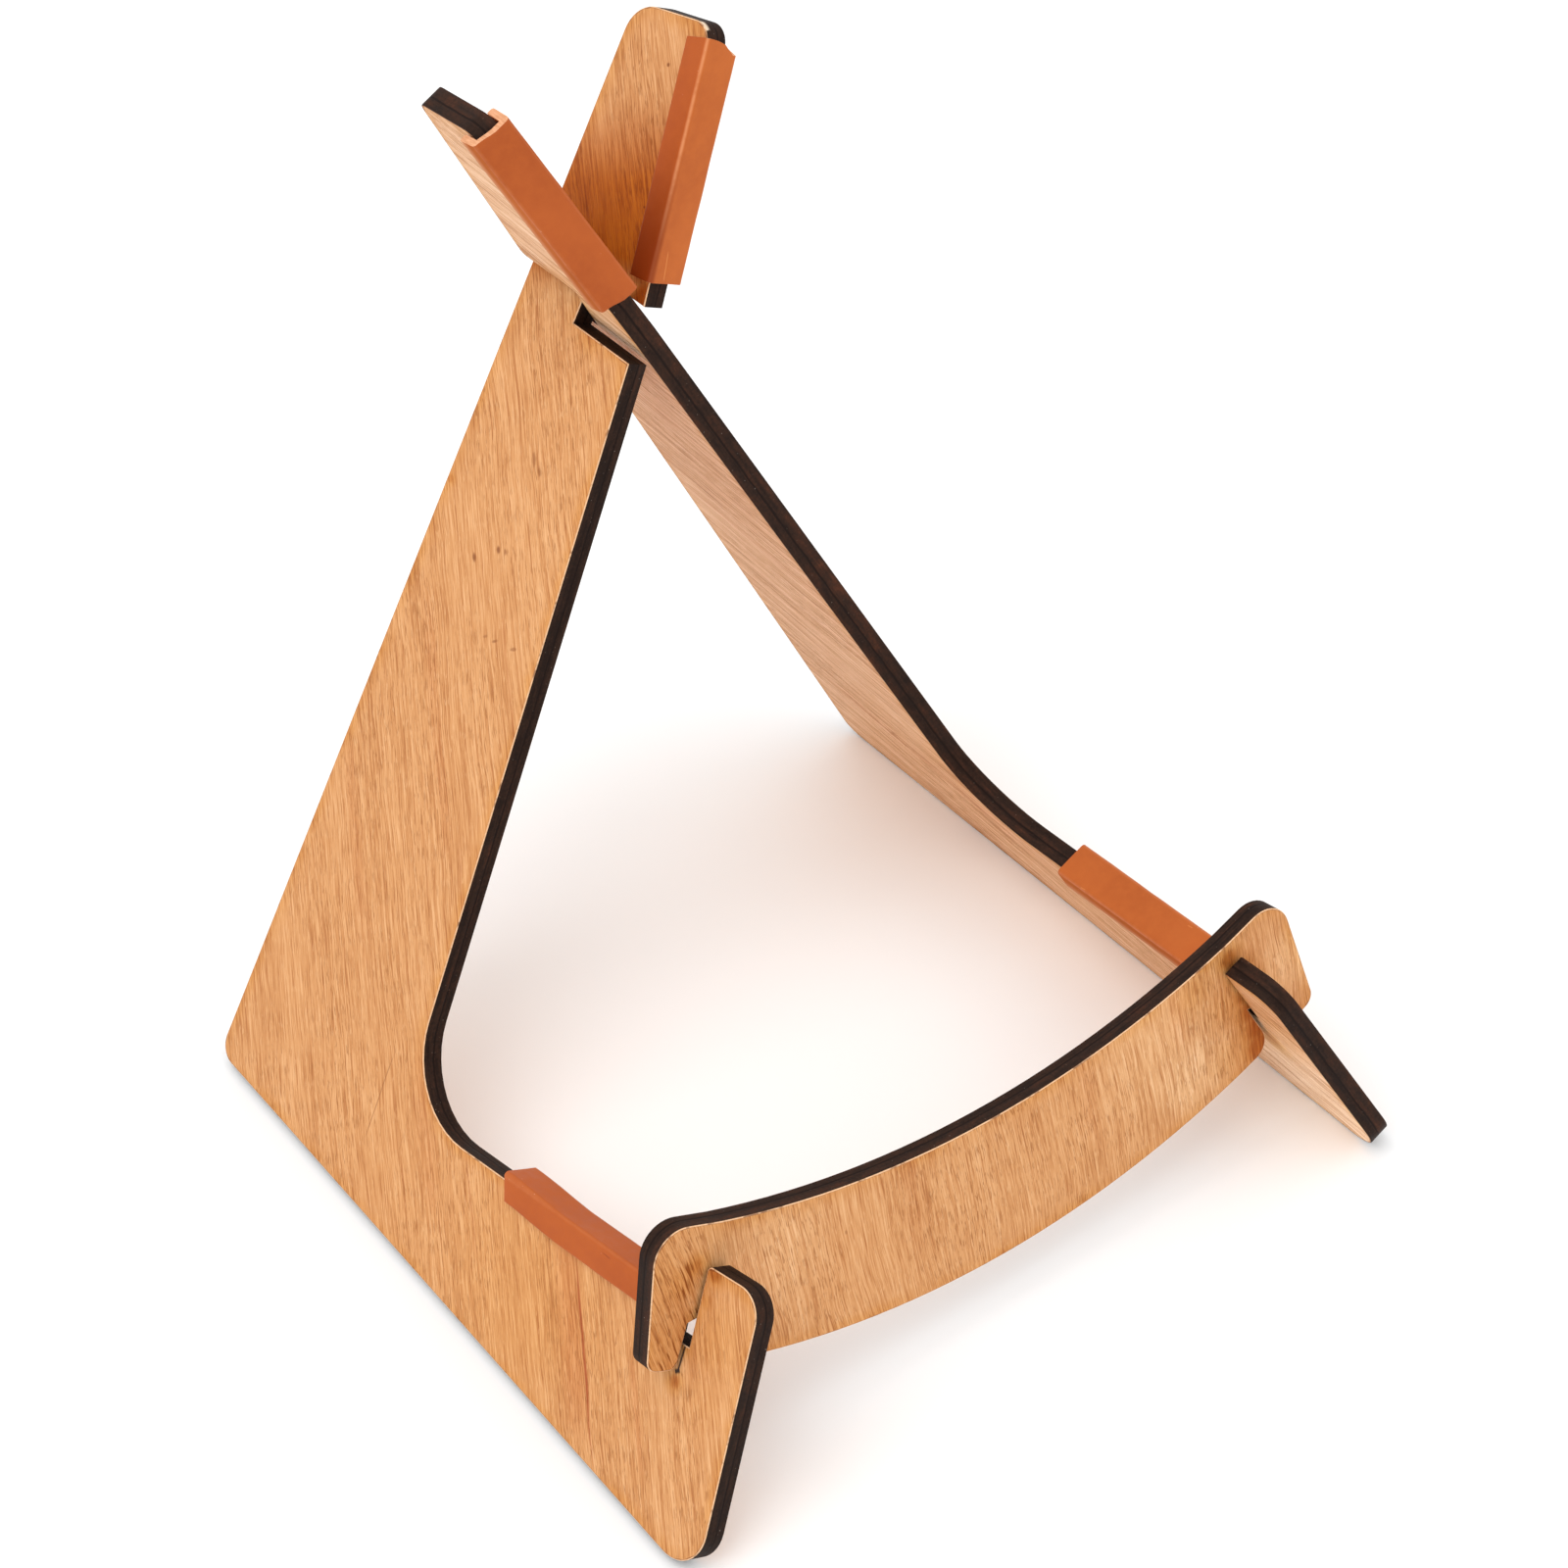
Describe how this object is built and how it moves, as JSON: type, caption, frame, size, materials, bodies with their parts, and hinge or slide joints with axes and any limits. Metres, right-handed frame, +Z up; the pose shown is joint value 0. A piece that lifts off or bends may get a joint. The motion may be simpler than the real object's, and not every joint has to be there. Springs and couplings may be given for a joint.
{
  "type": "ukulele stand",
  "caption": "Slot-together plywood stand: two leaning side boards crossed at the top, a curved front crossbar and soft grip strips that carry a small instrument.",
  "frame": {"origin": "centre of the bounding box's footprint, on the floor", "axes": "+Z up, -Y toward the front where the crossbar is, +X to the right seen from the front"},
  "size_m": [0.1902, 0.175, 0.232],
  "materials": {
    "left_board_wood": "satin plywood veneer, laser-charred edges",
    "right_board_wood": "satin plywood veneer, paler, laser-charred edges",
    "crossbar_wood": "satin plywood veneer, laser-charred edges",
    "grip_silicone": "satin terracotta silicone"
  },
  "bodies": {
    "root": {"left_side_board": "left_board_wood", "right_side_board": "right_board_wood", "front_crossbar": "crossbar_wood", "left_upper_grip_strip": "grip_silicone", "right_upper_grip_strip": "grip_silicone", "left_lower_grip_strip": "grip_silicone", "right_lower_grip_strip": "grip_silicone"}
  },
  "joints": []
}
